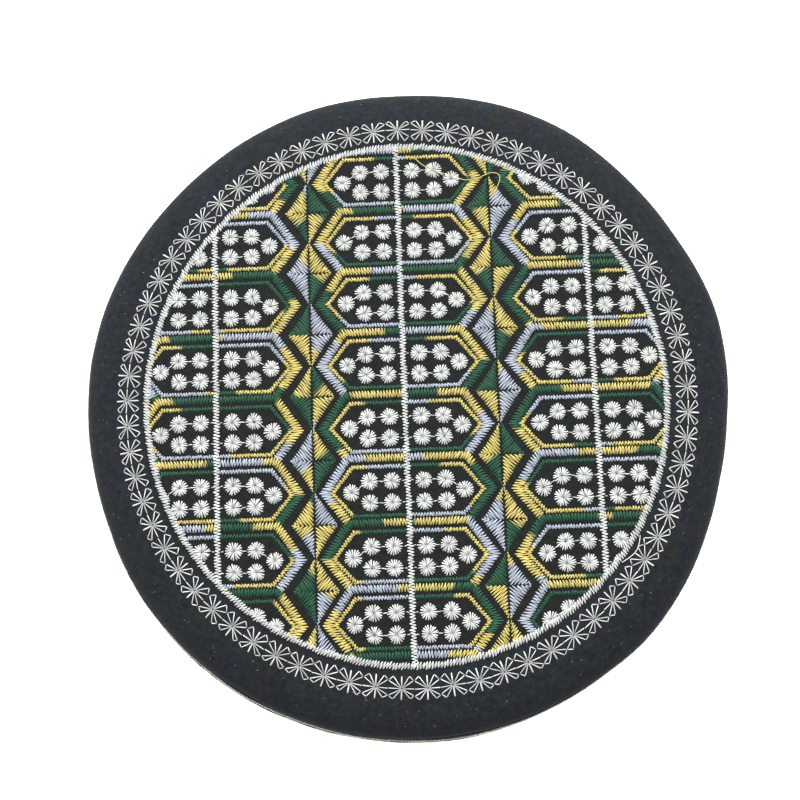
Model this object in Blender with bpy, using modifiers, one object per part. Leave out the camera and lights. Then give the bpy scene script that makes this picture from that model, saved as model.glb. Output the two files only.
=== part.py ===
"""Prayer cap: a flat round crown whose edge rolls down to a seam, and an upright side band.

The cap stands on its rim with its crown up, the front of the cap towards -Y.
The origin is in the plane of the rim, under the middle of the cap.
"""
import math

import bmesh
import bpy

MM = 0.001

# Plan of the crown where it is sewn to the band
CROWN_HALF_WIDTH = 92.8 * MM
CROWN_HALF_LENGTH = 94.2 * MM

# Heights and cloth
CAP_HEIGHT = 90.0 * MM
CROWN_CLOTH = 2.0 * MM
BAND_CLOTH = 2.0 * MM
SEAM_GAP = 0.3 * MM

# The crown's rolled edge is a quarter of a rounded square, cut off where it is this steep
ROLL_WIDTH = 17.0 * MM
ROLL_DROP = 8.0 * MM
ROLL_SQUARENESS = 2.6
ROLL_END_ANGLE = math.radians(73.6)

# The band leaves the seam in line with the roll, bellies out and hangs upright at its hem
SEAM_STAND = 1.2 * MM
BAND_BELLY = 3.6 * MM
HEM_HEIGHT = 6.0 * MM
RIM_EVENNESS = 0.5

# Fineness of the faceted solids
AROUND = 72
ROLL_RINGS = 7
FLAT_RINGS = 4
BAND_RINGS = 13

# Unevenness of the crown's edge round the cap: (azimuth in degrees from +X, share of the radius)
EDGE_SHAPE = (
    (0, -0.004), (15, 0.012), (30, 0.001), (45, 0.004), (60, 0.013), (75, 0.004),
    (90, -0.007), (105, -0.002), (120, -0.004), (135, -0.005), (150, 0.001), (165, 0.005),
    (180, 0.000), (195, -0.006), (210, -0.001), (225, 0.000), (240, -0.002), (255, -0.002),
    (270, -0.002), (285, -0.001), (300, 0.001), (315, 0.008), (330, -0.002), (345, -0.012),
)

# How far the band bellies out round the cap: (azimuth in degrees from +X, share of BAND_BELLY)
BELLY_ROUND = (
    (0, 0.42), (15, 0.45), (30, 0.50), (45, 0.55), (60, 0.60), (75, 0.65),
    (90, 0.70), (105, 0.72), (120, 0.74), (135, 0.75), (150, 0.75), (165, 0.74),
    (180, 0.72), (195, 0.70), (210, 0.74), (225, 0.94), (240, 0.95), (255, 0.92),
    (270, 0.87), (285, 0.82), (300, 0.44), (315, 0.36), (330, 0.38), (345, 0.40),
)

# The belly from the seam down to the hem: (share of the way down, share of the local belly)
BELLY_DOWN = (
    (0.00, 0.00), (0.05, 0.45), (0.11, 0.80), (0.20, 0.98),
    (0.35, 1.00), (0.60, 0.90), (0.80, 0.92), (1.00, 1.00),
)


def clear_scene():
    """Remove every object that the file opened with."""
    for item in list(bpy.data.objects):
        bpy.data.objects.remove(item, do_unlink=True)


def part_collection(name):
    """Make the collection that holds the cap's pieces."""
    group = bpy.data.collections.new(name)
    bpy.context.scene.collection.children.link(group)
    return group


def cloth(name, colour, roughness):
    """Make a plain cloth material."""
    material = bpy.data.materials.new(name)
    material.use_nodes = True
    shader = material.node_tree.nodes["Principled BSDF"]
    shader.inputs["Base Color"].default_value = (*colour, 1.0)
    shader.inputs["Roughness"].default_value = roughness
    shader.inputs["Metallic"].default_value = 0.0
    return material


def smooth_between(before, start, end, after, share):
    """Follow a Catmull-Rom curve from start to end."""
    slope_in = (end - before) / 2
    slope_out = (after - start) / 2
    bend = 3 * (end - start) - 2 * slope_in - slope_out
    twist = 2 * (start - end) + slope_in + slope_out
    return start + share * (slope_in + share * (bend + share * twist))


def round_the_cap(rows, azimuth):
    """Read a table of evenly spaced azimuths as one smooth closed curve."""
    count = len(rows)
    place = math.degrees(azimuth) % 360 * count / 360
    row = int(place)
    before, start, end, after = (rows[(row + step) % count][1] for step in (-1, 0, 1, 2))
    return smooth_between(before, start, end, after, place - row)


def down_the_band(share):
    """Read the belly's table at one share of the way down, easing between its rows."""
    for (share_above, belly_above), (share_below, belly_below) in zip(BELLY_DOWN, BELLY_DOWN[1:]):
        if share <= share_below:
            along = (share - share_above) / (share_below - share_above)
            return belly_above + (belly_below - belly_above) * along
    return BELLY_DOWN[-1][1]


def edge_radius(azimuth, evenness=0.0):
    """Radius of the crown's edge, with none, some or all of its unevenness taken out."""
    oval = 1 / math.hypot(math.cos(azimuth) / CROWN_HALF_WIDTH, math.sin(azimuth) / CROWN_HALF_LENGTH)
    return oval * (1 + (1 - evenness) * round_the_cap(EDGE_SHAPE, azimuth))


def roll_point(share):
    """Point on the rolled edge, as its share of the way out and its height."""
    out = CROWN_HALF_WIDTH - ROLL_WIDTH * (1 - share)
    drop = ROLL_DROP * (1 - (1 - share ** ROLL_SQUARENESS) ** (1 / ROLL_SQUARENESS))
    return out / CROWN_HALF_WIDTH, CAP_HEIGHT - drop


def roll_end():
    """Share of the roll's width at which it is as steep as the seam."""
    steepness = math.tan(ROLL_END_ANGLE) * ROLL_WIDTH / ROLL_DROP
    turned = steepness ** (ROLL_SQUARENESS / (ROLL_SQUARENESS - 1))
    return (turned / (1 + turned)) ** (1 / ROLL_SQUARENESS)


def crown_profile():
    """Points from the crown's middle to its sewn edge: (share of the edge's radius, height)."""
    flat_share = 1 - ROLL_WIDTH / CROWN_HALF_WIDTH
    flat = [(flat_share * ring / FLAT_RINGS, CAP_HEIGHT) for ring in range(FLAT_RINGS)]
    turns = [math.sin(math.pi / 2 * ring / ROLL_RINGS) for ring in range(ROLL_RINGS + 1)]
    return flat + [roll_point(roll_end() * turn) for turn in turns]


CROWN_PROFILE = crown_profile()
SEAM_SHARE, SEAM_HEIGHT = CROWN_PROFILE[-1]
LAST_SHARE, LAST_HEIGHT = CROWN_PROFILE[-2]
SEAM_LEAN = math.atan2((SEAM_SHARE - LAST_SHARE) * CROWN_HALF_WIDTH, LAST_HEIGHT - SEAM_HEIGHT)
BAND_TOP = SEAM_HEIGHT - SEAM_GAP * math.cos(SEAM_LEAN)
BELLY_TOP = BAND_TOP - SEAM_STAND * math.cos(SEAM_LEAN)


def band_radius(azimuth, height):
    """Outer radius of the band at one place and height."""
    down = min((BELLY_TOP - height) / (BELLY_TOP - HEM_HEIGHT), 1.0)
    calm = max(down, 0.0)
    followed = min(SEAM_HEIGHT - height, SEAM_HEIGHT - BELLY_TOP) * math.tan(SEAM_LEAN)
    belly = BAND_BELLY * round_the_cap(BELLY_ROUND, azimuth) * down_the_band(calm)
    return edge_radius(azimuth, RIM_EVENNESS * calm) * SEAM_SHARE + followed + belly


def band_heights():
    """Heights of the band's rings, from the seam to the rim, closer together near the seam."""
    fall = BELLY_TOP - HEM_HEIGHT
    belly = [BELLY_TOP - fall * (ring / BAND_RINGS) ** 1.5 for ring in range(BAND_RINGS + 1)]
    return [BAND_TOP] + belly + [0.0]


def plan_middle():
    """Middle of the band's outline at its widest, where the origin goes."""
    corners = []
    for step in range(AROUND):
        azimuth = 2 * math.pi * step / AROUND
        reach = max(band_radius(azimuth, height) for height in band_heights())
        corners.append((reach * math.cos(azimuth), reach * math.sin(azimuth)))
    xs, ys = zip(*corners)
    return (min(xs) + max(xs)) / 2, (min(ys) + max(ys)) / 2


def turned_sheet(name, profile, radius_at, middle, group):
    """Turn a profile of (radius, height) about Z, then move each point to its real radius."""
    sketch = bpy.data.meshes.new(name + "_profile")
    points = [(radius, 0.0, height) for radius, height in profile]
    sketch.from_pydata(points, [(at, at + 1) for at in range(len(points) - 1)], [])
    turned = bpy.data.objects.new(name + "_turned", sketch)
    group.objects.link(turned)
    screw = turned.modifiers.new("turn", "SCREW")
    screw.axis = "Z"
    screw.angle = 2 * math.pi
    screw.steps = AROUND
    screw.render_steps = AROUND
    screw.use_merge_vertices = True
    screw.merge_threshold = 0.00001
    seen = turned.evaluated_get(bpy.context.evaluated_depsgraph_get())
    mesh = bpy.data.meshes.new_from_object(seen)
    mesh.name = name
    bpy.data.objects.remove(turned, do_unlink=True)
    bpy.data.meshes.remove(sketch)
    for point in mesh.vertices:
        x, y, height = point.co
        if math.hypot(x, y) > MM:
            azimuth = math.atan2(y, x)
            radius = radius_at(azimuth, math.hypot(x, y), height)
            x = radius * math.cos(azimuth)
            y = radius * math.sin(azimuth)
        point.co = (x - middle[0], y - middle[1], height)
    sheet = bpy.data.objects.new(name, mesh)
    group.objects.link(sheet)
    return sheet


def give_cloth(sheet, thickness, material):
    """Give an open sheet its wall on the inside, its colour and smooth shading."""
    wall = sheet.modifiers.new("wall", "SOLIDIFY")
    wall.thickness = thickness
    wall.offset = -1.0
    wall.use_even_offset = True
    sheet.data.materials.append(material)
    sheet.data.shade_smooth()
    sheet.data.set_sharp_from_angle(angle=math.radians(50))


def make_crown(group, middle):
    """The round top: flat in the middle, its edge rolled down to the seam."""
    profile = [(share * CROWN_HALF_WIDTH, height) for share, height in CROWN_PROFILE]

    def radius_at(azimuth, radius, height):
        return edge_radius(azimuth) * radius / CROWN_HALF_WIDTH

    crown = turned_sheet("crown", profile, radius_at, middle, group)
    give_cloth(crown, CROWN_CLOTH, cloth("crown_cloth", (0.030, 0.033, 0.038), 0.85))


def make_side_band(group, middle):
    """The upright wall: sewn under the crown's edge, bellied, upright at its hem."""
    profile = [(CROWN_HALF_WIDTH, height) for height in band_heights()]

    def radius_at(azimuth, radius, height):
        return band_radius(azimuth, height)

    band = turned_sheet("side_band", profile, radius_at, middle, group)
    give_cloth(band, BAND_CLOTH, cloth("band_cloth", (0.028, 0.031, 0.036), 0.85))


clear_scene()
CAP = part_collection("prayer_cap")
MIDDLE = plan_middle()
make_crown(CAP, MIDDLE)
make_side_band(CAP, MIDDLE)
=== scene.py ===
"""Looks of an embroidered prayer cap: twill crown and side band, with every stitch laid as thread."""
import math
import random

import bmesh
import bpy
from mathutils import Matrix, Vector, noise
from mathutils.bvhtree import BVHTree


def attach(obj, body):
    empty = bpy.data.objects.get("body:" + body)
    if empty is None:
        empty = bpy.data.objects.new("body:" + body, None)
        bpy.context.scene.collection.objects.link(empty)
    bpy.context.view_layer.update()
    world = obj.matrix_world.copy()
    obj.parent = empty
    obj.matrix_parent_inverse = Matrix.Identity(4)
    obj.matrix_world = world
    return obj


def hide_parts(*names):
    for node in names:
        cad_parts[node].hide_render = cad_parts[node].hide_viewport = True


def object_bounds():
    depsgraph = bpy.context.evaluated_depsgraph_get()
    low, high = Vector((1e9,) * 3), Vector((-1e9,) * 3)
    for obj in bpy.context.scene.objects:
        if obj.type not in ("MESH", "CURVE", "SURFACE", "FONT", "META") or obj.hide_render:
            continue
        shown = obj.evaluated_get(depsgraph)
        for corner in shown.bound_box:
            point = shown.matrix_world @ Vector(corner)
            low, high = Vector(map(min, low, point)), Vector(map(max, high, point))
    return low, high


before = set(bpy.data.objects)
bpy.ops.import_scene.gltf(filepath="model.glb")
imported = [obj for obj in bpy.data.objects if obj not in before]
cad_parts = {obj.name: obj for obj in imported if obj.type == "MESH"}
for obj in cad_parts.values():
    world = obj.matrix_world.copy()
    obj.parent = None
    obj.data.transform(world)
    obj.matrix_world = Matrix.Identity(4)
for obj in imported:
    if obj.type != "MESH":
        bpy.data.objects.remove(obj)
cad_low, cad_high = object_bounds()
MM = 0.001

# The cap is looked down on from over its crown and a little from its front edge. The camera stands
# about a forearm above it with a normal lens, turned so that the crown's white lines stand upright.
CAMERA_PLACE = Vector((4.61, -33.10, 341.88)) * MM
CAMERA_AIM = Vector((-0.93, 0.27, 90.0)) * MM
CAMERA_TURN = math.radians(1.94)
CAMERA_LENS = 40.5

lens = bpy.data.cameras.new("camera")
lens.lens = CAMERA_LENS
lens.sensor_width = 36.0
lens.clip_start = 10 * MM
lens.clip_end = 20.0
camera = bpy.data.objects.new("camera", lens)
bpy.context.scene.collection.objects.link(camera)
bpy.context.scene.camera = camera
camera_back = (CAMERA_PLACE - CAMERA_AIM).normalized()
upright = Vector((math.sin(CAMERA_TURN), math.cos(CAMERA_TURN), 0.0))
camera_right = upright.cross(camera_back).normalized()
camera_up = camera_back.cross(camera_right)
camera.matrix_world = Matrix.Translation(CAMERA_PLACE) @ Matrix(
    (camera_right, camera_up, camera_back)).transposed().to_4x4()

# The crown is one round of blue-black cotton twill on a stiffener, so it stays flat in the middle
# and rolls down at its edge. Its surface is barely uneven, with faint rings of wear round the edge.
CROWN_UNEVENNESS = 0.12 * MM
CLOTH_RIPPLE = 14 * MM
CLOTH_CREASE = 0.85
CLOTH_LEVELS = 1
# Edges bent more than this are cut edges
CUT_EDGE_ANGLE = math.radians(50)
# Two triangles become one face again where they are this flat and this square together
FLAT_ENOUGH = math.radians(25)
SQUARE_ENOUGH = math.radians(60)
# How strongly wear shows as faint rings
CROWN_RING_WEAR = 0.5
# How far the crown's cut edge is tucked in behind the band, so that no light comes through the seam
SEAM_LAP = 0.8 * MM
TWILL_RIB = 0.55 * MM
TWILL_SLANT = math.radians(63)
# A wave texture of scale 1 repeats after this many units
WAVE_PERIOD = 0.314
# How finely the wear changes across its rings, each metre, and along them, each radian
WEAR_FINENESS = (900.0, 9.0)
# How much the clouds, the fuzz and the ribs count in the cloth's colour, and where it is darkest and
# lightest
CLOUD_SHARE = 2.0
FUZZ_SHARE = 0.5
RIB_SHARE = 0.12
CLOTH_RANGE = (0.74, 2.04)
# How far red, green and blue sway apart from place to place, and where each of them starts
HUE_SWAY = (0.7, 0.5, 0.9)
HUE_START = (0.65, 0.75, 0.55)
CLOTH_DARK = (0.0060, 0.0082, 0.0103)
CLOTH_LIGHT = (0.0210, 0.0247, 0.0292)
# The cloth between the coloured stitches is a warmer black, darkened with painted shade from the stitches
# around it, up to where the border is sewn
SEWN_TINT_AND_SHADE = (0.84, 0.78, 0.62)
SEWN_INNER = 72.5 * MM
SEWN_OUTER = 75.0 * MM


def add(tree, kind, inputs=None, **settings):
    """Put a node in a tree, with its settings, and feed its inputs with values or other nodes."""
    node = tree.nodes.new(kind)
    for field, value in settings.items():
        setattr(node, field, value)
    for place, value in (inputs or {}).items():
        if isinstance(value, bpy.types.NodeSocket):
            tree.links.new(value, node.inputs[place])
        else:
            node.inputs[place].default_value = value
    return node


def plain_mesh(thing, name):
    """Turn an object with its modifiers into a plain mesh object, and drop the first one."""
    seen = thing.evaluated_get(bpy.context.evaluated_depsgraph_get())
    mesh = bpy.data.meshes.new_from_object(seen)
    bpy.data.objects.remove(thing, do_unlink=True)
    mesh.name = name
    piece = bpy.data.objects.new(name, mesh)
    bpy.context.scene.collection.objects.link(piece)
    return piece


def fine_cloth(node, name):
    """A finer and softer copy of one of the cap's plain solids, with the cut edges kept."""
    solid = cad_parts[node].data
    mesh = bpy.data.meshes.new(name)
    mesh.from_pydata([point.co for point in solid.vertices], [], [face.vertices for face in solid.polygons])
    shape = bmesh.new()
    shape.from_mesh(mesh)
    bmesh.ops.remove_doubles(shape, verts=shape.verts, dist=0.005 * MM)
    bmesh.ops.join_triangles(
        shape, faces=shape.faces, angle_face_threshold=FLAT_ENOUGH, angle_shape_threshold=SQUARE_ENOUGH)
    crease = shape.edges.layers.float.new("crease_edge")
    for edge in shape.edges:
        if edge.is_manifold and edge.calc_face_angle() > CUT_EDGE_ANGLE:
            edge[crease] = CLOTH_CREASE
    shape.to_mesh(mesh)
    shape.free()
    cage = bpy.data.objects.new(name + "_cage", mesh)
    bpy.context.scene.collection.objects.link(cage)
    soft = cage.modifiers.new("soft", "SUBSURF")
    soft.levels = CLOTH_LEVELS
    soft.render_levels = CLOTH_LEVELS
    cloth = plain_mesh(cage, name)
    cloth.data.shade_smooth()
    return cloth


def lay_weave(cloth, flat_place):
    """Give each corner of the cloth its place on the flat cut piece, in metres."""
    flat = cloth.data.uv_layers.new(name="UVMap")
    for face in cloth.data.polygons:
        for corner in face.loop_indices:
            point = cloth.data.vertices[cloth.data.loops[corner].vertex_index].co
            flat.data[corner].uv = flat_place(point, face.center)


def twill(name, ring_wear):
    """Blue-black twill: fine diagonal ribs, a cloudy colour, wear that runs round the cap, and a warmer tint
    with painted shade inside the sewn border.
    """
    material = bpy.data.materials.new(name)
    material.use_nodes = True
    tree = material.node_tree
    shader = tree.nodes["Principled BSDF"]
    flat = add(tree, "ShaderNodeUVMap", uv_map="UVMap")
    place = add(tree, "ShaderNodeTexCoord")
    leaning = add(tree, "ShaderNodeMapping", {"Vector": flat.outputs["UV"], "Rotation": (0, 0, TWILL_SLANT)})
    ribs = add(tree, "ShaderNodeTexWave", {
        "Vector": leaning.outputs["Vector"], "Scale": WAVE_PERIOD / TWILL_RIB, "Distortion": 1.6,
        "Detail": 1.0, "Detail Scale": 3.0})
    fuzz = add(tree, "ShaderNodeTexNoise", {
        "Vector": place.outputs["Object"], "Scale": 2600.0, "Detail": 3.0, "Roughness": 0.7})
    clouds = add(tree, "ShaderNodeTexNoise", {
        "Vector": place.outputs["Object"], "Scale": 700.0, "Detail": 3.0, "Roughness": 0.65})
    apart = add(tree, "ShaderNodeSeparateXYZ", {"Vector": place.outputs["Object"]})
    over = add(tree, "ShaderNodeCombineXYZ", {"X": apart.outputs["X"], "Y": apart.outputs["Y"]})
    radius = add(tree, "ShaderNodeVectorMath", {0: over.outputs["Vector"]}, operation="LENGTH")
    round_it = add(tree, "ShaderNodeMath", {0: apart.outputs["Y"], 1: apart.outputs["X"]},
                   operation="ARCTAN2")
    thin = add(tree, "ShaderNodeMath", {0: radius.outputs["Value"], 1: WEAR_FINENESS[0]},
               operation="MULTIPLY")
    long = add(tree, "ShaderNodeMath", {0: round_it.outputs["Value"], 1: WEAR_FINENESS[1]},
               operation="MULTIPLY")
    rings_at = add(tree, "ShaderNodeCombineXYZ", {"X": thin.outputs["Value"], "Y": long.outputs["Value"]})
    rings = add(tree, "ShaderNodeTexNoise", {
        "Vector": rings_at.outputs["Vector"], "Scale": 1.0, "Detail": 2.0, "Roughness": 0.5})
    worn = add(tree, "ShaderNodeMath", {0: rings.outputs["Fac"], 1: ring_wear}, operation="MULTIPLY")
    cloudy = add(tree, "ShaderNodeMath", {
        0: clouds.outputs["Fac"], 1: CLOUD_SHARE, 2: worn.outputs["Value"]}, operation="MULTIPLY_ADD")
    fuzzy = add(tree, "ShaderNodeMath", {
        0: fuzz.outputs["Fac"], 1: FUZZ_SHARE, 2: cloudy.outputs["Value"]}, operation="MULTIPLY_ADD")
    ribbed = add(tree, "ShaderNodeMath", {
        0: ribs.outputs["Fac"], 1: RIB_SHARE, 2: fuzzy.outputs["Value"]}, operation="MULTIPLY_ADD")
    share = add(tree, "ShaderNodeMapRange", {
        "Value": ribbed.outputs["Value"], "From Min": CLOTH_RANGE[0] + ring_wear / 2,
        "From Max": CLOTH_RANGE[1] + ring_wear / 2})
    colour = add(tree, "ShaderNodeMix", {
        "Factor": share.outputs["Result"], 6: (*CLOTH_DARK, 1), 7: (*CLOTH_LIGHT, 1)}, data_type="RGBA")
    hues = add(tree, "ShaderNodeTexNoise", {"Vector": place.outputs["Object"], "Scale": 260.0, "Detail": 2.0})
    hue = add(tree, "ShaderNodeVectorMath", {
        0: hues.outputs["Color"], 1: HUE_SWAY, 2: HUE_START}, operation="MULTIPLY_ADD")
    # Painted shade: inside the border the cloth's colour is warmed and darkened, standing in for the shade
    # the stitches cast on it
    sewn = add(tree, "ShaderNodeMapRange", {
        "Value": radius.outputs["Value"], "From Min": SEWN_INNER, "From Max": SEWN_OUTER})
    shade = add(tree, "ShaderNodeMix", {
        "Factor": sewn.outputs["Result"], 6: (*SEWN_TINT_AND_SHADE, 1), 7: (1, 1, 1, 1)}, data_type="RGBA")
    tinted = add(tree, "ShaderNodeVectorMath", {0: colour.outputs["Result"], 1: hue.outputs["Vector"]},
                 operation="MULTIPLY")
    shaded = add(tree, "ShaderNodeVectorMath", {0: tinted.outputs["Vector"], 1: shade.outputs["Result"]},
                 operation="MULTIPLY")
    relief = add(tree, "ShaderNodeMath", {0: fuzz.outputs["Fac"], 1: 0.6, 2: ribs.outputs["Fac"]},
                 operation="MULTIPLY_ADD")
    bump = add(tree, "ShaderNodeBump", {
        "Height": relief.outputs["Value"], "Distance": 0.05 * MM, "Strength": 0.6})
    tree.links.new(shaded.outputs["Vector"], shader.inputs["Base Color"])
    tree.links.new(bump.outputs["Normal"], shader.inputs["Normal"])
    shader.inputs["Roughness"].default_value = 0.88
    shader.inputs["Specular IOR Level"].default_value = 0.10
    shader.inputs["Sheen Weight"].default_value = 0.02
    shader.inputs["Sheen Roughness"].default_value = 0.5
    return material


crown_cloth = fine_cloth("crown", "crown_cloth")
cut_edge = min(point.co.z for point in crown_cloth.data.vertices)
for point in crown_cloth.data.vertices:
    if point.co.z < cut_edge + SEAM_LAP / 4:
        point.co.z -= SEAM_LAP
    point.co.z += CROWN_UNEVENNESS * noise.noise(point.co.xy.to_3d() / CLOTH_RIPPLE)
lay_weave(crown_cloth, lambda point, middle: (point.x, point.y))
crown_cloth.data.materials.append(twill("crown_twill", CROWN_RING_WEAR))
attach(crown_cloth, "root")
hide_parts("crown")

# The side band is one long strip of the same twill, sewn under the crown's edge and closed by an
# upright seam at the back. It stands by itself, and bellies out a little under the crown.
BAND_UNEVENNESS = 0.25 * MM
BAND_RADIUS = (cad_high.x - cad_low.x) / 2

side_band_cloth = fine_cloth("side_band", "side_band_cloth")
for point in side_band_cloth.data.vertices:
    outwards = point.co.xy.normalized().to_3d()
    drop = min(1.0, point.co.z / CLOTH_RIPPLE)
    point.co += outwards * BAND_UNEVENNESS * drop * noise.noise(point.co / CLOTH_RIPPLE)


def along_the_band(point, middle):
    """Place on the flat strip, cut open at the back seam."""
    near = math.atan2(middle.x, -middle.y)
    turn = math.atan2(point.x, -point.y)
    turn += round((near - turn) / math.tau) * math.tau
    return turn * BAND_RADIUS, point.z


lay_weave(side_band_cloth, along_the_band)
side_band_cloth.data.materials.append(twill("side_band_twill", 0.0))
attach(side_band_cloth, "root")
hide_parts("side_band")

# A white satin border runs round the crown where it starts to roll, sewn over the ends of the
# coloured rows: a zigzag of soft white thread with ragged edges.
CELL = 18.0 * MM
BORDER_MIDDLE = Vector((0.38, 1.26)) * MM
BORDER_RADIUS = 4.092
# The border isn't quite round: how far it sways out in one wave, two waves and three waves round the
# crown, as shares that go with the cosine and the sine. It was fitted to the photo.
BORDER_SWAY = ((0.0156, -0.0111), (-0.0119, -0.0085), (-0.0088, -0.0034))
BORDER_REACH = 0.056
BORDER_STEP = 0.0456
BORDER_THREAD = 0.0182
BORDER_LEAN = -0.055
# How far a turn of a white line wanders, across the line and along it
LINE_WANDER = (0.014, 0.004)
# A zigzag's way back is thinner than its way out
RETURN_SHARE = 0.75
SHORTEST_STITCH = 0.02
TRIM_HALVINGS = 7
BORDER_LIFT = 0.14 * MM
THREAD_HEIGHT = 0.75
THREAD_SIDES = 4
TWIST = 0.55 * MM
THREAD_TONES = (0.68, 1.12)
# Stations along a stitch: (place along it, height over the cloth, share of the full girth)
STITCH_ARCH = ((-0.42, 0.30, 0.95), (0.42, 0.30, 0.95))
# How deep its two tips go into the cloth
STITCH_DIVE = 0.25
# Painted shade towards a stitch's far end, where it dives into a needle hole shared with other stitches:
# where along the stitch it begins, and how much darker its far end is painted
SHADE_START = -0.1
FAR_PAINTED_SHADE = 0.62


def eye_colour(red, green, blue):
    """A colour as the eye names it, from 0 to 255, made linear for the shader."""
    return tuple(((part / 255 + 0.055) / 1.055) ** 2.4 for part in (red, green, blue))


# The white thread, and the border's, which is a little greyer
WHITE = eye_colour(224, 226, 223)
BORDER_WHITE = eye_colour(208, 210, 208)


def thread_shape(name, stations):
    """One closed stitch, a unit long and wide, that leaves the cloth, arches and dives back in."""
    shape = bmesh.new()
    tips = [shape.verts.new((x, 0.0, -STITCH_DIVE)) for x in (-0.5, 0.5)]
    rings = []
    for along, height, girth in stations:
        turns = [math.tau * side / THREAD_SIDES + math.pi / 2 for side in range(THREAD_SIDES)]
        rings.append([
            shape.verts.new((along, 0.5 * girth * math.cos(turn), height + 0.5 * girth * math.sin(turn)))
            for turn in turns])
    for side in range(THREAD_SIDES):
        after = (side + 1) % THREAD_SIDES
        shape.faces.new((tips[0], rings[0][after], rings[0][side]))
        shape.faces.new((tips[1], rings[-1][side], rings[-1][after]))
        for near, far in zip(rings, rings[1:]):
            shape.faces.new((near[side], near[after], far[after], far[side]))
    bmesh.ops.recalc_face_normals(shape, faces=shape.faces)
    mesh = bpy.data.meshes.new(name)
    shape.to_mesh(mesh)
    shape.free()
    ply = mesh.attributes.new("ply", "FLOAT_VECTOR", "POINT")
    for point, given in zip(mesh.vertices, ply.data):
        given.vector = (point.co.x, math.atan2(point.co.z, point.co.y) / math.tau, 0.0)
    return bpy.data.objects.new(name, mesh)


def sewing_tree():
    """Lay one stitch of thread over each edge of the drawn rows, standing on the cloth."""
    tree = bpy.data.node_groups.new("sewing", "GeometryNodeTree")
    for name, kind in (("Rows", "Geometry"), ("Thread", "Object"), ("Lift", "Float"), ("Height", "Float"),
                       ("Unevenness", "Float"), ("Seed", "Int"), ("Finish", "Material")):
        tree.interface.new_socket(name, in_out="INPUT", socket_type="NodeSocket" + kind)
    tree.interface.new_socket("Stitches", in_out="OUTPUT", socket_type="NodeSocketGeometry")
    given = add(tree, "NodeGroupInput").outputs
    ends = add(tree, "GeometryNodeInputMeshEdgeVertices").outputs
    run = add(tree, "ShaderNodeVectorMath", {0: ends["Position 2"], 1: ends["Position 1"]},
              operation="SUBTRACT")
    kept = add(tree, "GeometryNodeCaptureAttribute", domain="EDGE")
    kept.capture_items.new("VECTOR", "Run")
    tree.links.new(given["Rows"], kept.inputs["Geometry"])
    tree.links.new(run.outputs["Vector"], kept.inputs["Run"])
    points = add(tree, "GeometryNodeMeshToPoints", {"Mesh": kept.outputs["Geometry"]}, mode="EDGES")
    up = add(tree, "GeometryNodeInputNamedAttribute", {"Name": "up"}, data_type="FLOAT_VECTOR").outputs[0]
    width = add(tree, "GeometryNodeInputNamedAttribute", {"Name": "width"}, data_type="FLOAT").outputs[0]
    raised = add(tree, "ShaderNodeVectorMath", {0: up, "Scale": given["Lift"]}, operation="SCALE")
    over = add(tree, "GeometryNodeSetPosition", {
        "Geometry": points.outputs["Points"], "Offset": raised.outputs["Vector"]})
    lying = add(tree, "FunctionNodeAxesToRotation", {
        "Primary Axis": kept.outputs["Run"], "Secondary Axis": up}, primary_axis="X", secondary_axis="Z")
    length = add(tree, "ShaderNodeVectorMath", {0: kept.outputs["Run"]}, operation="LENGTH").outputs["Value"]
    less = add(tree, "ShaderNodeMath", {0: 1.0, 1: given["Unevenness"]}, operation="SUBTRACT")
    more = add(tree, "ShaderNodeMath", {0: 1.0, 1: given["Unevenness"]}, operation="ADD")
    uneven = add(tree, "FunctionNodeRandomValue", {
        2: less.outputs["Value"], 3: more.outputs["Value"], "Seed": given["Seed"]},
        data_type="FLOAT").outputs[1]
    tall = add(tree, "ShaderNodeMath", {0: width, 1: given["Height"]}, operation="MULTIPLY").outputs["Value"]
    thick = add(tree, "ShaderNodeMath", {0: tall, 1: uneven}, operation="MULTIPLY").outputs["Value"]
    size = add(tree, "ShaderNodeCombineXYZ", {"X": length, "Y": width, "Z": thick})
    thread = add(tree, "GeometryNodeObjectInfo", {"Object": given["Thread"]})
    laid = add(tree, "GeometryNodeInstanceOnPoints", {
        "Points": over.outputs["Geometry"], "Instance": thread.outputs["Geometry"],
        "Rotation": lying.outputs["Rotation"], "Scale": size.outputs["Vector"]})
    tone = add(tree, "FunctionNodeRandomValue", {"Seed": given["Seed"]}, data_type="FLOAT").outputs[1]
    toned = add(tree, "GeometryNodeStoreNamedAttribute", {
        "Geometry": laid.outputs["Instances"], "Name": "tone", "Value": tone},
        data_type="FLOAT", domain="INSTANCE")
    scale = add(tree, "GeometryNodeInputInstanceScale").outputs["Scale"]
    long = add(tree, "ShaderNodeSeparateXYZ", {"Vector": scale}).outputs["X"]
    measured = add(tree, "GeometryNodeStoreNamedAttribute", {
        "Geometry": toned.outputs["Geometry"], "Name": "reach", "Value": long},
        data_type="FLOAT", domain="INSTANCE")
    real = add(tree, "GeometryNodeRealizeInstances", {"Geometry": measured.outputs["Geometry"]})
    smooth = add(tree, "GeometryNodeSetShadeSmooth", {"Geometry": real.outputs["Geometry"]})
    finished = add(tree, "GeometryNodeSetMaterial", {
        "Geometry": smooth.outputs["Geometry"], "Material": given["Finish"]})
    add(tree, "NodeGroupOutput", {"Stitches": finished.outputs["Geometry"]})
    return tree


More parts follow.
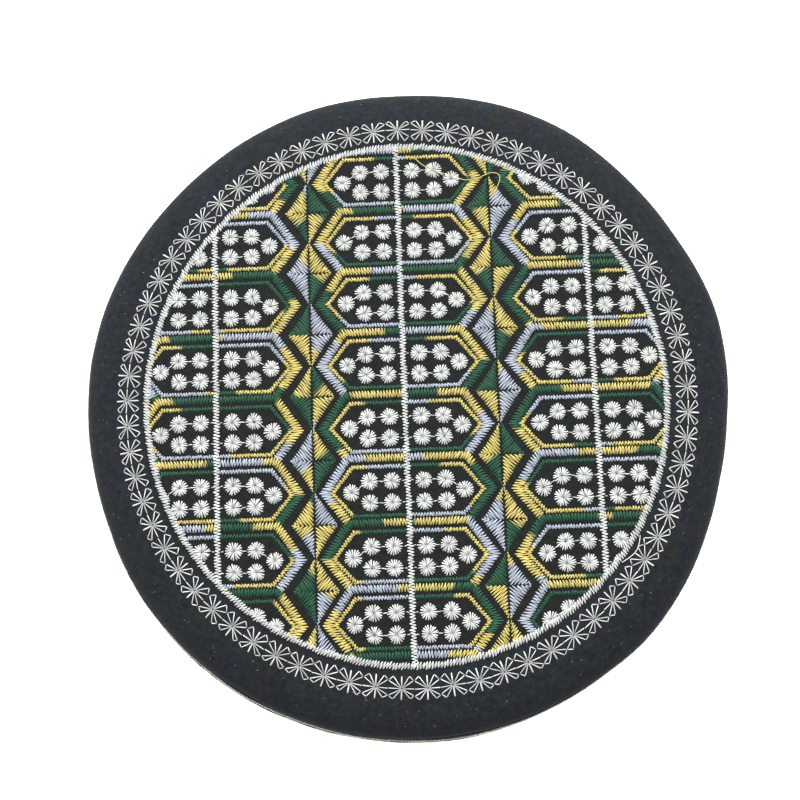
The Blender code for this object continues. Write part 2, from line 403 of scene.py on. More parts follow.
def thread_finish(name, roughness, painted_far_shade=0.0):
    """Embroidery thread: its dye, an uneven tone, the twist of its plies, and painted shade towards its far
    end, where it dives into the cloth.
    """
    material = bpy.data.materials.new(name)
    material.use_nodes = True
    tree = material.node_tree
    shader = tree.nodes["Principled BSDF"]
    dye = add(tree, "ShaderNodeAttribute", attribute_name="dye").outputs["Color"]
    tone = add(tree, "ShaderNodeAttribute", attribute_name="tone").outputs["Fac"]
    ply = add(tree, "ShaderNodeAttribute", attribute_name="ply").outputs["Vector"]
    reach = add(tree, "ShaderNodeAttribute", attribute_name="reach").outputs["Fac"]
    light = add(tree, "ShaderNodeMapRange", {
        "Value": tone, "To Min": THREAD_TONES[0], "To Max": THREAD_TONES[1]}).outputs["Result"]
    parts = add(tree, "ShaderNodeSeparateXYZ", {"Vector": ply}).outputs
    # Painted shade: the colour darkens towards the stitch's far end, standing in for the shade in the needle
    # hole
    painted_end_shade = add(tree, "ShaderNodeMapRange", {
        "Value": parts["X"], "From Min": SHADE_START, "From Max": 0.5, "To Min": 1.0,
        "To Max": 1 - painted_far_shade})
    tone_and_painted_shade = add(tree, "ShaderNodeMath", {0: light, 1: painted_end_shade.outputs["Result"]}, operation="MULTIPLY")
    toned = add(tree, "ShaderNodeVectorMath", {0: dye, "Scale": tone_and_painted_shade.outputs["Value"]}, operation="SCALE")
    along = add(tree, "ShaderNodeMath", {0: parts["X"], 1: reach}, operation="MULTIPLY").outputs["Value"]
    turns = add(tree, "ShaderNodeMath", {0: along, 1: 1 / TWIST, 2: parts["Y"]}, operation="MULTIPLY_ADD")
    phase = add(tree, "ShaderNodeMath", {0: turns.outputs["Value"], 1: math.tau * 2}, operation="MULTIPLY")
    plies = add(tree, "ShaderNodeMath", {0: phase.outputs["Value"]}, operation="SINE")
    bump = add(tree, "ShaderNodeBump", {
        "Height": plies.outputs["Value"], "Distance": 0.02 * MM, "Strength": 0.5})
    tree.links.new(toned.outputs["Vector"], shader.inputs["Base Color"])
    tree.links.new(bump.outputs["Normal"], shader.inputs["Normal"])
    shader.inputs["Roughness"].default_value = roughness
    shader.inputs["Specular IOR Level"].default_value = 0.45
    shader.inputs["Sheen Weight"].default_value = 0.03
    return material


def touch_from(cloth):
    """How to find the cloth's skin from outside: a function of a place far off and a direction."""
    skin = BVHTree.FromObject(cloth, bpy.context.evaluated_depsgraph_get())

    def touch(place, direction):
        point, normal, _, _ = skin.ray_cast(place, direction)
        return point, normal
    return touch


def sew(name, stitches, lay, lift, seed, finish, unevenness=0.15):
    """Sew a list of stitches, each its start, end, dye and thread width, as one piece of thread."""
    points, ups, widths, dyes = [], [], [], []
    for start, end, dye, width in stitches:
        near, near_up = lay(*start)
        far, far_up = lay(*end)
        points += [near, far]
        ups.extend((near_up + far_up).normalized())
        widths.append(width * CELL)
        dyes.extend((*dye, 1.0))
    rows = bpy.data.meshes.new(name + "_rows")
    rows.from_pydata(points, [(at, at + 1) for at in range(0, len(points), 2)], [])
    rows.attributes.new("up", "FLOAT_VECTOR", "EDGE").data.foreach_set("vector", ups)
    rows.attributes.new("width", "FLOAT", "EDGE").data.foreach_set("value", widths)
    rows.attributes.new("dye", "FLOAT_COLOR", "EDGE").data.foreach_set("color", dyes)
    drawn = bpy.data.objects.new(name + "_drawn", rows)
    bpy.context.scene.collection.objects.link(drawn)
    sewing = drawn.modifiers.new("sewing", "NODES")
    sewing.node_group = SEWING
    wanted = {"Thread": STITCH, "Lift": lift, "Height": THREAD_HEIGHT, "Unevenness": unevenness, "Seed": seed,
              "Finish": finish}
    for socket in SEWING.interface.items_tree:
        if socket.name in wanted:
            sewing[socket.identifier] = wanted[socket.name]
    piece = plain_mesh(drawn, name)
    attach(piece, "root")


STITCH = thread_shape("stitch_shape", STITCH_ARCH)
SEWING = sewing_tree()
WHITE_THREAD = thread_finish("white_thread", 0.50)
# A copy of the white thread with painted shade at each stitch's far end, for the stars and rosettes whose
# stitches meet in one hole
HOLE_SHADED_THREAD = thread_finish("white_thread_hole_shade", 0.50, FAR_PAINTED_SHADE)
crown_skin = touch_from(crown_cloth)
chance = random.Random(11)


def on_crown(x, y):
    """Place on the crown's cloth, in cells from the border's middle, to the right and up."""
    above = Vector((BORDER_MIDDLE.x + x * CELL, BORDER_MIDDLE.y + y * CELL, cad_high.z + CELL))
    return crown_skin(above, Vector((0, 0, -1)))


def about(value, spread):
    """A value that wanders a little, as hand-guided work does."""
    return value + chance.uniform(-spread, spread)


def between(start, end, share):
    """Point between two points."""
    return start[0] + (end[0] - start[0]) * share, start[1] + (end[1] - start[1]) * share


def trimmed(start, end, inside):
    """The part of a stitch that lies inside a boundary, or nothing."""
    if not inside(*start):
        start, end = end, start
    if not inside(*start):
        return None
    if inside(*end):
        return start, end
    held, lost = 0.0, 1.0
    for _ in range(TRIM_HALVINGS):
        middle = (held + lost) / 2
        if inside(*between(start, end, middle)):
            held = middle
        else:
            lost = middle
    return (start, between(start, end, held)) if held * math.dist(start, end) > SHORTEST_STITCH else None


def anywhere(x, y):
    """A boundary that trims nothing."""
    return True


def white_line(spot, first, last, reach, lean, step, thread, inside, dye=WHITE):
    """A white satin line: a zigzag across a line, its turns a little ragged."""
    turns = round((last - first) / step) * 2
    ends = []
    for turn in range(turns + 1):
        side = 1 if turn % 2 else -1
        along = first + (last - first) * turn / turns + side * lean / 2
        ends.append(spot(about(side * reach, LINE_WANDER[0]), about(along, LINE_WANDER[1])))
    for turn, (start, end) in enumerate(zip(ends, ends[1:])):
        part = trimmed(start, end, inside)
        if part:
            yield *part, dye, thread * (RETURN_SHARE if turn % 2 else 1.0)


def swaying(sway, turn):
    """How far out a ring sways at one turn round the crown."""
    return sum(
        cosine * math.cos(waves * turn) + sine * math.sin(waves * turn)
        for waves, (cosine, sine) in enumerate(sway, 1))


def round_border(across, along):
    """Point this far out from the border's line and this far along it, anticlockwise from the right."""
    turn = along / BORDER_RADIUS
    radius = BORDER_RADIUS + swaying(BORDER_SWAY, turn) + across
    return radius * math.cos(turn), radius * math.sin(turn)


border = white_line(
    round_border, 0.0, math.tau * BORDER_RADIUS, BORDER_REACH, BORDER_LEAN, BORDER_STEP, BORDER_THREAD,
    anywhere, BORDER_WHITE)
sew("crown_border", border, on_crown, BORDER_LIFT, 3, WHITE_THREAD)

# Outside the border runs a row of open stars, sewn as one long white thread: two stout spokes across
# the row, four narrow petals, and a fine thread on to the next star. The row was not laid out evenly.
STAR_COUNT = 69
STAR_OUT = 0.316
STAR_SWAY = ((0.0016, -0.0170), (0.0040, 0.0045))
# How far the stars drift round from even places, in steps from star to star: a steady part, then one
# wave and two waves round the crown as (height, turn of its crest). Fitted to the photo, as the sway is.
STAR_DRIFT = 0.165
STAR_DRIFT_ONCE = (-0.164, 0.25)
STAR_DRIFT_TWICE = (0.066, 0.49)
# Corners of a star's petals: (outwards, along the row) of the steep side, then of the shallow side
PETALS = (((0.158, 0.122), (0.112, 0.190)), ((-0.188, 0.118), (-0.118, 0.192)))
# How far a star's spokes reach, outwards and inwards
SPOKES = (0.172, -0.188)
SPOKE_THREAD = 0.026
PETAL_THREAD = 0.0158
STAR_LIFT = 0.05 * MM
# How much of each thread is left out at a star's middle, as a share of its length
STAR_HOLE = 0.02
# How far a star's middle, the needle and the corners of the petals wander
STAR_WANDER = 0.006
NEEDLE_WANDER = 0.008
PETAL_WANDER = 0.010
# How far outwards the fine thread to the next star runs
LINK_OUT = 0.006


def star(spot, step):
    """The threads of one star, on a row that has the next star a step away."""
    middle = spot(about(0.0, STAR_WANDER), about(0.0, STAR_WANDER))
    ends = [
        (spot(about(SPOKES[0], NEEDLE_WANDER), about(0.0, NEEDLE_WANDER)), SPOKE_THREAD),
        (spot(about(SPOKES[1], NEEDLE_WANDER), about(0.0, NEEDLE_WANDER)), SPOKE_THREAD * 0.9),
        (spot(about(LINK_OUT, NEEDLE_WANDER), step / 2), PETAL_THREAD),
        (spot(about(LINK_OUT, NEEDLE_WANDER), -step / 2), PETAL_THREAD),
    ]
    for steep, shallow in PETALS:
        for side in (-1, 1):
            high = spot(about(steep[0], PETAL_WANDER), side * about(steep[1], PETAL_WANDER))
            low = spot(about(shallow[0], PETAL_WANDER), side * about(shallow[1], NEEDLE_WANDER))
            ends += [(high, PETAL_THREAD), (low, PETAL_THREAD)]
            yield high, low, WHITE, PETAL_THREAD
    for end, thread in ends:
        yield end, between(middle, end, STAR_HOLE), WHITE, thread


def crown_star(number):
    """One star of the crown, in its slightly uneven place."""
    turn = math.tau * number / STAR_COUNT
    once = STAR_DRIFT_ONCE[0] * math.cos(turn - STAR_DRIFT_ONCE[1])
    twice = STAR_DRIFT_TWICE[0] * math.sin(2 * turn - STAR_DRIFT_TWICE[1])
    drift = STAR_DRIFT + once + twice
    place = math.tau * (number + drift) / STAR_COUNT * BORDER_RADIUS
    widening = 1 + STAR_OUT / BORDER_RADIUS

    def spot(out, along):
        return round_border(STAR_OUT + swaying(STAR_SWAY, turn) + out, place + along / widening)

    return star(spot, math.tau / STAR_COUNT * (BORDER_RADIUS + STAR_OUT))


stars = [thread for number in range(STAR_COUNT) for thread in crown_star(number)]
sew("crown_stars", stars, on_crown, STAR_LIFT, 4, HOLE_SHADED_THREAD)

# Inside the border the crown is sewn in three columns of long six-sided cells, eight rows of them.
# A ragged white satin line runs down the middle of each column.
ROWS = 8
FIRST_ROW = 3.529
LEAN = 0.0022
# The three columns of cells: (its middle line across, how much lower it sits), in cells. Their places
# and those of the rosettes were fitted to the photo.
COLUMNS = ((-2.970, 0.007), (0.002, 0.008), (2.975, 0.022))
LINE_STEP = 0.0474
LINE_REACH = 0.050
LINE_LEAN = 0.0
LINE_THREAD = 0.0190
LINE_LIFT = 0.10 * MM
# How far the rows reach in under the border, past its middle
BORDER_OVERLAP = 0.005


def in_border(x, y):
    """True where the coloured rows are sewn, up to the middle of the white border."""
    return math.hypot(x, y) < BORDER_RADIUS + swaying(BORDER_SWAY, math.atan2(y, x)) + BORDER_OVERLAP


def crown_cells(middle, drop):
    """How to find a point of a column: a function of the way across and down from its first row."""
    def spot(across, down):
        fall = down + drop
        return middle + across + LEAN * (fall - FIRST_ROW), FIRST_ROW - fall
    return spot


lines = [
    stitch for middle, drop in COLUMNS
    for stitch in white_line(
        crown_cells(middle, drop), -1.0, ROWS, LINE_REACH, LINE_LEAN, LINE_STEP, LINE_THREAD, in_border)]
sew("crown_middle_lines", lines, on_crown, LINE_LIFT, 5, WHITE_THREAD)

# The cells are outlined in satin with one space-dyed thread, whose colour changes in a set repeat:
# yellow, green, yellow, pale lavender. Each half column is sewn in one go, row after row.
YELLOW = eye_colour(209, 194, 110)
GREEN = eye_colour(22, 84, 58)
LAVENDER = eye_colour(178, 186, 200)
# The dyed thread's repeat: (colour, cells of outline that it sews)
DYE_REPEAT = ((YELLOW, 0.82), (GREEN, 1.17), (YELLOW, 0.82), (LAVENDER, 1.09))
DYE_LENGTH = sum(length for _, length in DYE_REPEAT)
DYE_BLEED = 0.05
SATIN_STEP = 0.0470
SATIN_THREAD = 0.0205
SATIN_WANDER = 0.007
SATIN_LIFT = 0.02 * MM
# Rails of the outline in one row, from the middle line out and round the tip: (cells of outline sewn
# so far, outer rail across, outer rail down from the row's middle, inner rail across, inner rail down)
OUTLINE_RAILS = (
    (0.030, 0.030, -0.590, 0.030, -0.470), (0.930, 0.970, -0.590, 0.890, -0.470),
    (1.552, 1.385, 0.0, 1.205, 0.0), (2.174, 1.000, 0.490, 0.890, 0.395),
)
# Where a yellow stretch that follows a lavender one begins, in cells of outline sewn from the top of
# the half column: (column, side, ((holds from here on, yellow begins), ...))
OUTLINE_DYE = (
    (0, -1, ((0.0, 4.2), (6.4, 5.24), (8.6, 7.36), (10.8, 9.01), (13.0, 10.39))),
    (0, 1, ((0.0, 3.77), (15.2, 14.20))),
    (1, -1, ((0.0, 0.88), (17.3, 16.27))),
    (1, 1, ((0.0, 3.30), (17.3, 17.88))),
    (2, -1, ((0.0, 0.54), (15.2, 13.28))),
    (2, 1, ((0.0, 3.50), (6.4, 4.29), (8.6, 8.71), (10.8, 10.61), (13.0, 12.33))),
)


def dye_at(place):
    """Colour of the dyed thread this far on from the start of its repeat, bleeding at the changes."""
    place %= DYE_LENGTH
    before = DYE_REPEAT[-1][0]
    for colour, length in DYE_REPEAT:
        if place < length:
            share = min(1.0, place / DYE_BLEED)
            return tuple(old + (new - old) * share for old, new in zip(before, colour))
        place -= length
        before = colour
    return before


def dye_on_path(starts, along, stretch):
    """Colour at one place of a path, from the places where its yellow stretches begin."""
    begin = [yellow for holds, yellow in starts if holds <= along][-1]
    return dye_at((along - begin) / stretch)


def satin(rails, step, back):
    """A zigzag between two rails: (thread sewn so far, share of full width, start, end) of each stitch."""
    for (done, *near), (due, *far) in zip(rails, rails[1:]):
        middles = [((rail[0] + rail[2]) / 2, (rail[1] + rail[3]) / 2) for rail in (near, far)]
        teeth = round(math.dist(*middles) / step)
        for tooth in range(teeth):
            outer = between(near[:2], far[:2], tooth / teeth)
            inner = between(near[2:], far[2:], (tooth + 0.5) / teeth)
            after = between(near[:2], far[:2], (tooth + 1) / teeth)
            yield done + (due - done) * tooth / teeth, 1.0, outer, inner
            yield done + (due - done) * (tooth + 0.5) / teeth, back, inner, after


def half_column(spot, side, rows, starts, rails, step, thread, back, stretch, inside):
    """One half of a column of cells, sewn row after row in the dyed thread."""
    for row in range(rows):
        for sewn, share, *ends in satin(rails, step, back):
            start, end = [
                spot(side * about(across, SATIN_WANDER), row + about(down, SATIN_WANDER))
                for across, down in ends]
            part = trimmed(start, end, inside)
            if part:
                yield *part, dye_on_path(starts, row * rails[-1][0] + sewn, stretch), thread * share


DYED_THREAD = thread_finish("dyed_thread", 0.42)
# A row's outline begins with the run over its cells, so one row more closes the last cells
outlines = [
    stitch for column, side, starts in OUTLINE_DYE
    for stitch in half_column(
        crown_cells(*COLUMNS[column]), side, ROWS + 1, starts, OUTLINE_RAILS, SATIN_STEP, SATIN_THREAD,
        RETURN_SHARE, 1.0, in_border)]
sew("crown_outlines", outlines, on_crown, SATIN_LIFT, 6, DYED_THREAD)

# Inside each outline runs a thin zigzag line of the same thread, round the whole half cell and back
# to the middle, so it eats less thread for its length and its colours change later.
INNER_STEP = 0.0461
INNER_THREAD = 0.0180
INNER_STRETCH = 1.40
INNER_RAILS = (
    (0.030, 0.030, -0.423, 0.030, -0.359), (0.850, 0.873, -0.423, 0.837, -0.359),
    (1.326, 1.211, 0.0, 1.132, 0.0), (1.814, 0.873, 0.397, 0.837, 0.335), (2.664, 0.0, 0.397, 0.0, 0.335),
)
# As in OUTLINE_DYE, but in cells of inner line
INNER_DYE = (
    (0, -1, ((0.0, 2.24), (5.3, 6.20), (6.6, 7.56), (7.9, 5.71), (9.3, 10.45), (10.6, 8.38), (13.3, 12.10),
             (15.9, 11.94))),
    (0, 1, ((0.0, 3.93), (7.9, 9.13), (13.3, 14.43), (18.6, 16.68))),
    (1, -1, ((0.0, 3.0),)),
    (1, 1, ((0.0, 0.08),)),
    (2, -1, ((0.0, 3.80), (5.3, 6.35), (10.6, 11.74), (16.0, 17.13), (19.3, 17.50))),
    (2, 1, ((0.0, 3.50), (5.3, 2.70), (6.6, 3.57), (7.9, 9.14))),
)

inner_lines = [
    stitch for column, side, starts in INNER_DYE
    for stitch in half_column(
        crown_cells(*COLUMNS[column]), side, ROWS, starts, INNER_RAILS, INNER_STEP, INNER_THREAD, 1.0,
        INNER_STRETCH, in_border)]
sew("crown_inner_lines", inner_lines, on_crown, SATIN_LIFT, 7, DYED_THREAD)

# Between the columns stand chains of diamonds, each filled in four parts with slanting stitches that
# leave a thin dark cross of cloth showing. They are sewn down the chain in the dyed thread too.
DIAMOND_STEP = 0.0432
DIAMOND_THREAD = 0.0190
DIAMOND_REACH = (0.346, 0.50)
DIAMOND_GAP = 0.012
DIAMOND_WANDER = (0.007, 0.006)
DIAMOND_STRETCH = 1.50
# Parts of a diamond in the order of sewing: (side across, side down, slant of its stitches in degrees,
# how far it keeps from the part below or above it)
DIAMOND_PARTS = ((-1, -1, -48, -0.007), (-1, 1, 40, -0.007), (1, -1, 48, 0.006), (1, 1, -38, 0.006))
# The two chains: (its middle across, how much lower it sits, where its yellow stretches begin, counted
# in parts of diamonds, four to a row)
CHAINS = (
    (-1.459, -0.010, ((-9.0, 0.16), (10.0, 11.51), (20.0, 17.15), (28.0, 25.0))),
    (1.470, -0.008, ((-9.0, -3.0), (0.0, 4.0), (9.0, 10.0), (15.0, 16.0), (21.0, 22.0), (30.0, 27.0))),
)


def hatch(corners, slant, step):
    """A zigzag that fills a triangle from the top down: (share of the way, of full width, start, end)."""
    way = (math.cos(slant), math.sin(slant))
    depths = [corner[1] * way[0] - corner[0] * way[1] for corner in corners]
    low, high = min(depths), max(depths)
    turns = round((high - low) / step) * 2
    ends = []
    for turn in range(turns):
        level = low + (turn + 0.5) * (high - low) / turns
        crossed = [
            between(here, there, (level - near) / (far - near))
            for here, there, near, far in zip(
                corners, corners[1:] + corners[:1], depths, depths[1:] + depths[:1])
            if (near - level) * (far - level) < 0]
        crossed.sort(key=lambda point: point[0] * way[0] + point[1] * way[1])
        ends.append(crossed[turn % 2])
    if ends[0][1] > ends[-1][1]:
        ends.reverse()
    for turn, (start, end) in enumerate(zip(ends, ends[1:])):
        yield turn / turns, RETURN_SHARE if turn % 2 else 1.0, start, end


def diamond_chain(spot, middle, rows, starts, step, thread, inside):
    """A chain of diamonds between the rows of cells."""
    reach_across, reach_down = DIAMOND_REACH
    for row in rows:
        for order, (across, down, slant, gap) in enumerate(DIAMOND_PARTS):
            near = (middle + across * DIAMOND_GAP, row + 0.5 + down * gap)
            corners = [
                near, (near[0] + across * reach_across, near[1]), (near[0], near[1] + down * reach_down)]
            for share, width, *ends in hatch(corners, -math.radians(slant), step):
                start, end = [
                    spot(about(x, DIAMOND_WANDER[0]), about(y, DIAMOND_WANDER[1])) for x, y in ends]
                part = trimmed(start, end, inside)
                if part:
                    dye = dye_on_path(starts, 4 * row + order + share, DIAMOND_STRETCH)
                    yield *part, dye, thread * width


diamonds = [
    stitch for middle, drop, starts in CHAINS
    for stitch in diamond_chain(
        crown_cells(middle, drop), 0.0, range(-1, ROWS), starts, DIAMOND_STEP, DIAMOND_THREAD, in_border)]
sew("crown_diamonds", diamonds, on_crown, 0.0, 8, DYED_THREAD)

# Five white rosettes fill each half cell. Every one is a wheel of stitches that all dive into one
# hole, and the thread runs on from wheel to wheel in plain view.
ROSETTE_REACH = 0.1455
ROSETTE_RAYS = 19
ROSETTE_HOLE = 0.008
ROSETTE_THREAD = 0.0222
# Shares of a rosette's reach that its rays end between
ROSETTE_RIM = (0.87, 1.03)
ROSETTE_UNEVENNESS = 0.25
ROSETTE_WANDER = 0.004
RAY_WANDER = 0.15
LINK_WANDER = 0.01
# Rosettes of a half cell: (across, down from the row's middle)
ROSETTES = ((0.249, -0.166), (0.593, -0.166), (0.881, 0.0), (0.249, 0.166), (0.593, 0.166))
# Thread left lying between them: (from: across, down, to: across, down)
ROSETTE_LINKS = (
    (0.05, -0.166, 0.095, -0.166), (0.38, -0.166, 0.46, -0.166), (0.700, -0.110, 0.770, -0.065),
    (0.05, 0.166, 0.095, 0.166), (0.38, 0.166, 0.46, 0.166),
)


def rosette(x, y, rays, thread, inside):
    """The spokes of one rosette."""
    start_turn = chance.uniform(0, math.tau)
    reach = about(ROSETTE_REACH, ROSETTE_WANDER)
    for ray in range(rays):
        turn = start_turn + math.tau * (ray + chance.uniform(-RAY_WANDER, RAY_WANDER)) / rays
        rim = reach * chance.uniform(*ROSETTE_RIM)
        outer = (x + rim * math.cos(turn), y + rim * math.sin(turn))
        hole = about(ROSETTE_HOLE, NEEDLE_WANDER)
        inner = (
            about(x + hole * math.cos(turn), NEEDLE_WANDER), about(y + hole * math.sin(turn), NEEDLE_WANDER))
        part = trimmed(outer, inner, inside)
        if part:
            yield *part, WHITE, thread


def half_cell_rosettes(spot, side, row, rays, thread, inside):
    """The rosettes of one half cell, with the thread between them."""
    for across, down in ROSETTES:
        yield from rosette(*spot(side * across, row + down), rays, thread, inside)
    for near_across, near_down, far_across, far_down in ROSETTE_LINKS:
        near = spot(side * near_across, row + about(near_down, LINK_WANDER))
        far = spot(side * far_across, row + about(far_down, LINK_WANDER))
        part = trimmed(near, far, inside)
        if part:
            yield *part, WHITE, PETAL_THREAD


rosettes = [
    stitch for column in COLUMNS for side in (-1, 1) for row in range(ROWS)
    for stitch in half_cell_rosettes(
        crown_cells(*column), side, row, ROSETTE_RAYS, ROSETTE_THREAD, in_border)]
sew("crown_rosettes", rosettes, on_crown, 0.0, 9, HOLE_SHADED_THREAD, ROSETTE_UNEVENNESS)

# Round the side band runs one column of the same cells, turned on its side, from just under the
# crown's seam to two thirds of the way down. White lines close it above and below.
BAND_ROWS = 33
FRIEZE_HEIGHT = 57.4 * MM
FRIEZE_REACH = 1.37
SEAM_ALLOWANCE = 0.04
BAND_STEP = 0.0520
BAND_THREAD = 0.0250
BAND_INNER_THREAD = BAND_THREAD * 0.9
BAND_INNER_RETURN = 0.8
BAND_ROSETTE_THREAD = ROSETTE_THREAD * 1.3
BAND_ROSETTE_RAYS = 17
# As OUTLINE_DYE, INNER_DYE and CHAINS, for the band's one column
BAND_OUTLINE_DYE = ((-1, ((0.0, 0.88),)), (1, ((0.0, 3.30),)))
BAND_INNER_DYE = ((-1, ((0.0, 3.0),)), (1, ((0.0, 0.08),)))
BAND_CHAINS = ((-1.486, ((-9.0, 0.16),)), (1.486, ((-9.0, 4.0),)))
# How far the diamonds' tips keep from the white lines
TIP_CLEARANCE = 0.16
band_skin = touch_from(side_band_cloth)


def on_band(x, y):
    """Place on the band's cloth: cells up from the frieze's middle, and cells round from the back."""
    turn = math.tau * (0.5 - y) / BAND_ROWS + math.pi / 2
    outwards = Vector((math.cos(turn), math.sin(turn), 0))
    outside = outwards * 2 * BAND_RADIUS
    outside.z = FRIEZE_HEIGHT + x * CELL
    return band_skin(outside, -outwards)


def band_cells(across, down):
    """The frieze as a column of cells: its rows run round the band."""
    return across, -down


def in_frieze(x, y):
    """True where the frieze is sewn: between its white lines, and clear of the back seam."""
    return abs(x) < FRIEZE_REACH and SEAM_ALLOWANCE - 0.5 < -y < BAND_ROWS - 0.5 - SEAM_ALLOWANCE


def between_tips(x, y):
    """True where the frieze's diamonds are sewn, which keep clear of its white lines."""
    return abs(x) < FRIEZE_REACH - TIP_CLEARANCE and in_frieze(x, y)


def band_line(across, reach):
    """A white line round the band."""
    def spot(aside, along):
        return band_cells(across + aside, along)
    return white_line(spot, SEAM_ALLOWANCE - 0.5, BAND_ROWS - 0.5 - SEAM_ALLOWANCE, reach, LINE_LEAN,
                      LINE_STEP, LINE_THREAD, anywhere)


band_lines = [
    stitch for across, reach in (
        (FRIEZE_REACH, BORDER_REACH), (0.0, LINE_REACH), (-FRIEZE_REACH, BORDER_REACH))
    for stitch in band_line(across, reach)]
sew("band_lines", band_lines, on_band, LINE_LIFT, 12, WHITE_THREAD)

band_outlines = [
    stitch for side, starts in BAND_OUTLINE_DYE
    for stitch in half_column(
        band_cells, side, BAND_ROWS, starts, OUTLINE_RAILS, BAND_STEP, BAND_THREAD, RETURN_SHARE, 1.0,
        in_frieze)]
sew("band_outlines", band_outlines, on_band, SATIN_LIFT, 13, DYED_THREAD)

band_inner_lines = [
    stitch for side, starts in BAND_INNER_DYE
    for stitch in half_column(
        band_cells, side, BAND_ROWS, starts, INNER_RAILS, BAND_STEP, BAND_INNER_THREAD, BAND_INNER_RETURN,
        INNER_STRETCH, in_frieze)]
sew("band_inner_lines", band_inner_lines, on_band, SATIN_LIFT, 14, DYED_THREAD)

band_diamonds = [
    stitch for middle, starts in BAND_CHAINS
    for stitch in diamond_chain(
        band_cells, middle, range(-1, BAND_ROWS), starts, BAND_STEP, BAND_THREAD, between_tips)]
sew("band_diamonds", band_diamonds, on_band, 0.0, 15, DYED_THREAD)

band_rosettes = [
    stitch for side in (-1, 1) for row in range(BAND_ROWS)
    for stitch in half_cell_rosettes(
        band_cells, side, row, BAND_ROSETTE_RAYS, BAND_ROSETTE_THREAD, in_frieze)]
sew("band_rosettes", band_rosettes, on_band, 0.0, 16, HOLE_SHADED_THREAD, ROSETTE_UNEVENNESS)

# Below the frieze the band has the crown's row of stars, and then only black cloth down to a hem
# with a line of black stitches.
BAND_STARS = 81
BAND_STARS_DOWN = -1.78
HEM_LINE = -2.86
HEM_STITCHES = 150
# How much of each step a hem stitch covers
HEM_STITCH_SHARE = 0.78
HEM_THREAD = 0.022
HEM_LIFT = 0.05 * MM
BLACK = eye_colour(34, 37, 42)


def band_star(number):
    """One star of the row under the frieze."""
    step = (BAND_ROWS - 2 * SEAM_ALLOWANCE) / BAND_STARS

    def spot(out, along):
        return band_cells(BAND_STARS_DOWN - out, (number + 0.5) * step + SEAM_ALLOWANCE - 0.5 + along)

    return star(spot, step)


band_stars = [thread for number in range(BAND_STARS) for thread in band_star(number)]
sew("band_stars", band_stars, on_band, STAR_LIFT, 17, HOLE_SHADED_THREAD)
hem_step = BAND_ROWS / HEM_STITCHES
hem = [
    ((HEM_LINE, -number * hem_step), (HEM_LINE, -(number + HEM_STITCH_SHARE) * hem_step), BLACK, HEM_THREAD)
    for number in range(HEM_STITCHES)]
sew("band_hem", hem, on_band, HEM_LIFT, 18, DYED_THREAD)

# The strip is closed at the back by an upright seam with close black stitches.
SEAM_REACH = (-3.10, 1.42)
SEAM_STEP = 0.075
SEAM_STITCH_SHARE = 0.85
SEAM_SIDES = (-0.022, 0.022)

seam = []
for number in range(round((SEAM_REACH[1] - SEAM_REACH[0]) / SEAM_STEP)):
    low = SEAM_REACH[0] + number * SEAM_STEP
    seam += [
        ((low, 0.5 + aside), (low + SEAM_STEP * SEAM_STITCH_SHARE, 0.5 + aside), BLACK, HEM_THREAD)
        for aside in SEAM_SIDES]
sew("band_seam", seam, on_band, HEM_LIFT, 19, DYED_THREAD)

# A few ends of thread were left loose on the crown: a yellow one that wanders through the first row of
# cells, partly under the rosettes, and a white one by the border.
LOOSE_THREAD = 0.011
LOOSE_TONE = 0.7
# Places that a loose end passes: (across, down from the first row, height over the cloth in mm)
YELLOW_END = (
    (0.28, -0.38, 0.3), (0.36, -0.29, 0.5), (0.47, -0.20, 0.4), (0.73, -0.10, 0.1), (1.00, 0.00, 0.1),
    (1.10, 0.05, 0.4), (1.30, 0.03, 0.5), (1.48, -0.05, 0.6), (1.55, -0.06, 0.6), (1.65, -0.03, 0.7),
    (1.67, 0.07, 0.6), (1.60, 0.20, 0.4),
)
WHITE_END = ((3.52, 5.80, 0.4), (3.50, 5.95, 0.6), (3.40, 6.10, 0.6), (3.22, 6.20, 0.4))


def loose_end(name, path, dye, finish):
    """A thread that lies loose on the crown."""
    line = bpy.data.curves.new(name + "_line", "CURVE")
    line.dimensions = "3D"
    line.bevel_depth = LOOSE_THREAD * CELL / 2
    line.bevel_resolution = 1
    line.use_fill_caps = True
    spline = line.splines.new("NURBS")
    spline.points.add(len(path) - 1)
    spline.order_u = 3
    spline.resolution_u = 6
    spline.use_endpoint_u = True
    for station, (across, down, height) in zip(spline.points, path):
        place, up = on_crown(across, FIRST_ROW - down)
        station.co = (*(place + up * height * MM), 1.0)
    drawn = bpy.data.objects.new(name + "_drawn", line)
    bpy.context.scene.collection.objects.link(drawn)
    piece = plain_mesh(drawn, name)
    count = len(piece.data.vertices)
    piece.data.attributes.new("dye", "FLOAT_COLOR", "POINT").data.foreach_set("color", (*dye, 1.0) * count)
    piece.data.attributes.new("tone", "FLOAT", "POINT").data.foreach_set("value", (LOOSE_TONE,) * count)
    piece.data.materials.append(finish)
    piece.data.shade_smooth()
    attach(piece, "root")


loose_end("loose_yellow_end", YELLOW_END, YELLOW, DYED_THREAD)
loose_end("loose_white_end", WHITE_END, WHITE, WHITE_THREAD)

# Bits of lint lie on the black cloth outside the stars, more of them towards the front of the cap.
LINT_COUNT = 170
LINT_RING = (4.56, 5.02)
LINT_THREAD = 0.006
LINT_LENGTHS = (0.008, 0.035)
LINT_GREYS = (80, 165)
LINT_LIFT = 0.04 * MM


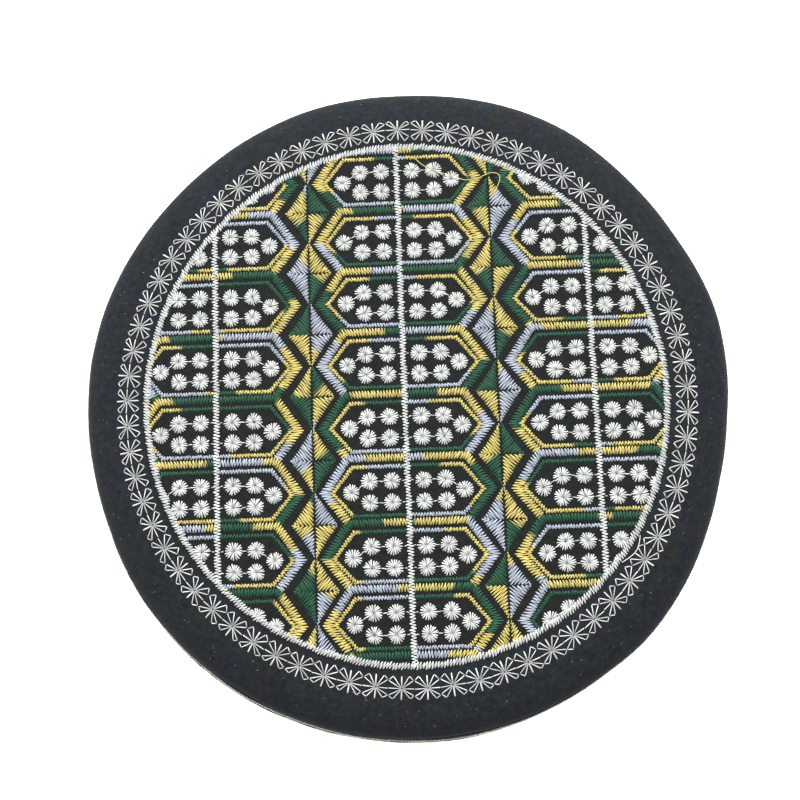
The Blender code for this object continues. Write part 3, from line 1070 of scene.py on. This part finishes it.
def lint_bit():
    """One bit of lint, at a place where lint gathers."""
    turn = chance.uniform(0, math.tau)
    while chance.random() > 0.6 - 0.4 * math.sin(turn):
        turn = chance.uniform(0, math.tau)
    radius = chance.uniform(*LINT_RING)
    near = (radius * math.cos(turn), radius * math.sin(turn))
    twist = chance.uniform(0, math.tau)
    length = chance.uniform(*LINT_LENGTHS)
    far = (near[0] + length * math.cos(twist), near[1] + length * math.sin(twist))
    grey = chance.uniform(*LINT_GREYS)
    return near, far, eye_colour(grey * 0.93, grey * 0.98, grey), LINT_THREAD


sew("lint", [lint_bit() for _ in range(LINT_COUNT)], on_crown, LINT_LIFT, 20, WHITE_THREAD)

# The cap stands on a plain white table top under soft, even studio light. The table glows a little,
# so that it stays white in the cap's shadow.
TABLE_REACH = 3.0
TABLE_GLOW = 0.72
SKY_LIGHT = 0.55
LIGHT_AIM = (0, 0, 0.05)

floor_mesh = bpy.data.meshes.new("table_top")
corners = [(TABLE_REACH * x, TABLE_REACH * y, 0) for x, y in ((-1, -1), (1, -1), (1, 1), (-1, 1))]
floor_mesh.from_pydata(corners, [], [(0, 1, 2, 3)])
floor = bpy.data.objects.new("table_top", floor_mesh)
bpy.context.scene.collection.objects.link(floor)
floor_finish = bpy.data.materials.new("table_top")
floor_finish.use_nodes = True
floor_shader = floor_finish.node_tree.nodes["Principled BSDF"]
floor_shader.inputs["Base Color"].default_value = (0.95, 0.95, 0.95, 1)
floor_shader.inputs["Roughness"].default_value = 0.9
floor_shader.inputs["Emission Color"].default_value = (1, 1, 1, 1)
floor_shader.inputs["Emission Strength"].default_value = TABLE_GLOW
floor.data.materials.append(floor_finish)


def soft_light(name, place, aim, size, power):
    """A large square lamp at a place, facing a point."""
    lamp = bpy.data.lights.new(name, "AREA")
    lamp.shape = "SQUARE"
    lamp.size = size
    lamp.energy = power
    thing = bpy.data.objects.new(name, lamp)
    bpy.context.scene.collection.objects.link(thing)
    thing.location = place
    thing.rotation_euler = (Vector(aim) - Vector(place)).to_track_quat("-Z", "Y").to_euler()


soft_light("overhead_light", (0.10, 0.75, 1.0), LIGHT_AIM, 0.42, 24.0)
soft_light("side_light", (-0.9, 0.35, 0.7), LIGHT_AIM, 0.6, 4.0)
sky = bpy.data.worlds.new("sky")
sky.use_nodes = True
sky.node_tree.nodes["Background"].inputs["Color"].default_value = (1, 1, 1, 1)
sky.node_tree.nodes["Background"].inputs["Strength"].default_value = SKY_LIGHT
bpy.context.scene.world = sky
bpy.context.scene.view_settings.view_transform = "Standard"
